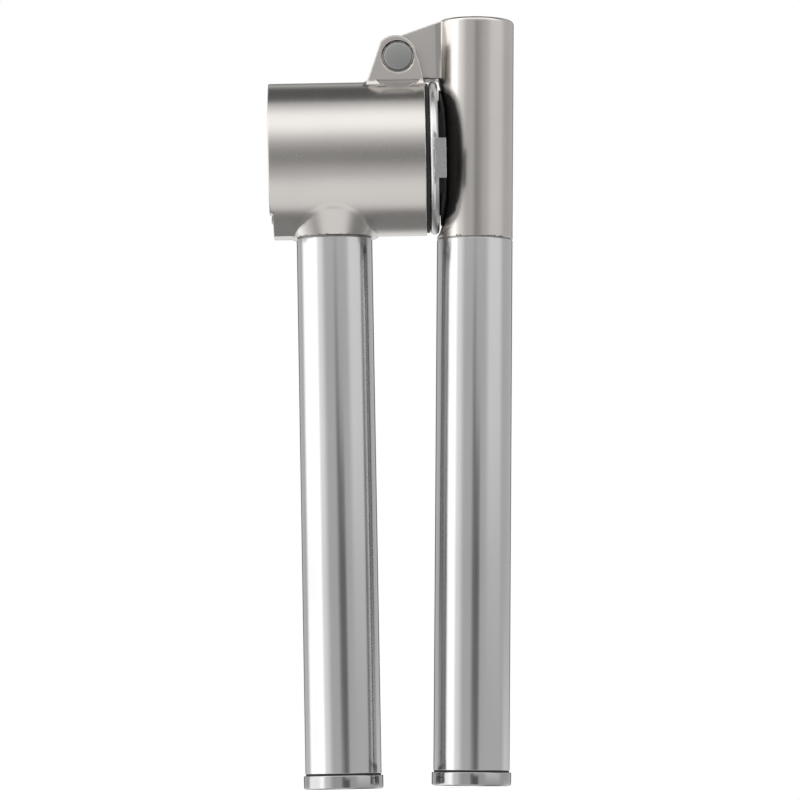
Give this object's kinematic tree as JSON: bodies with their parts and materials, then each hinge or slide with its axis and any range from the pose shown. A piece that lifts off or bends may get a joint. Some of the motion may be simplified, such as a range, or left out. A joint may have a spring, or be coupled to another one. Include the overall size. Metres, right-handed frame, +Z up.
{
  "type": "garlic press",
  "caption": "Hinged garlic press with two round tubular handles, a round chamber, a lift-out sieve insert and a swinging plunger on the lever.",
  "frame": {"origin": "middle of the footprint, on the surface that the closed press stands on, caps down", "axes": "+Z up the handles towards the hinge, +X from the chamber handle to the lever handle, hinge pin along Y, front at -Y"},
  "size_m": [0.0546, 0.0343, 0.1693],
  "materials": {
    "casting": "satin, slightly warm plated casting",
    "tube_steel": "finely brushed along the tube",
    "polished_steel": "polished stainless steel",
    "pin_steel": "dark satin steel, faced flat",
    "seal_rubber": "matt black",
    "black_plastic": "satin black moulding"
  },
  "bodies": {
    "chamber": {"chamber_body": "casting", "hinge_pin": "pin_steel", "hinge_washer_front": "black_plastic", "hinge_washer_back": "black_plastic", "chamber_tube": "tube_steel", "chamber_tube_ring": "pin_steel", "chamber_cap_seal": "seal_rubber", "chamber_end_cap": "polished_steel", "chamber_tie_rod": "pin_steel", "chamber_rod_spacer": "black_plastic"},
    "insert": {"sieve_insert": "polished_steel", "insert_gasket": "seal_rubber"},
    "lever": {"lever_head": "casting", "mouth_guard": "black_plastic", "lever_tube": "tube_steel", "lever_tube_ring": "pin_steel", "lever_cap_seal": "seal_rubber", "lever_end_cap": "polished_steel", "lever_tie_rod": "pin_steel", "lever_rod_spacer": "black_plastic"},
    "plunger": {"plunger": "polished_steel", "plunger_pin": "pin_steel"}
  },
  "joints": [
    {"name": "lever_hinge", "type": "hinge", "parent": "chamber", "child": "lever", "pos_m": [0.00142, 0, 0.16065], "axis": [0, -1, 0], "range_deg": [0, 150]},
    {"name": "insert_turn", "type": "hinge", "parent": "chamber", "child": "insert", "pos_m": [0, 0, 0.13875], "axis": [1, 0, 0], "range_deg": [-30, 30]},
    {"name": "plunger_swing", "type": "hinge", "parent": "lever", "child": "plunger", "pos_m": [-0.00761, 0, 0.13967], "axis": [0, -1, 0], "range_deg": [-10, 10]}
  ]
}
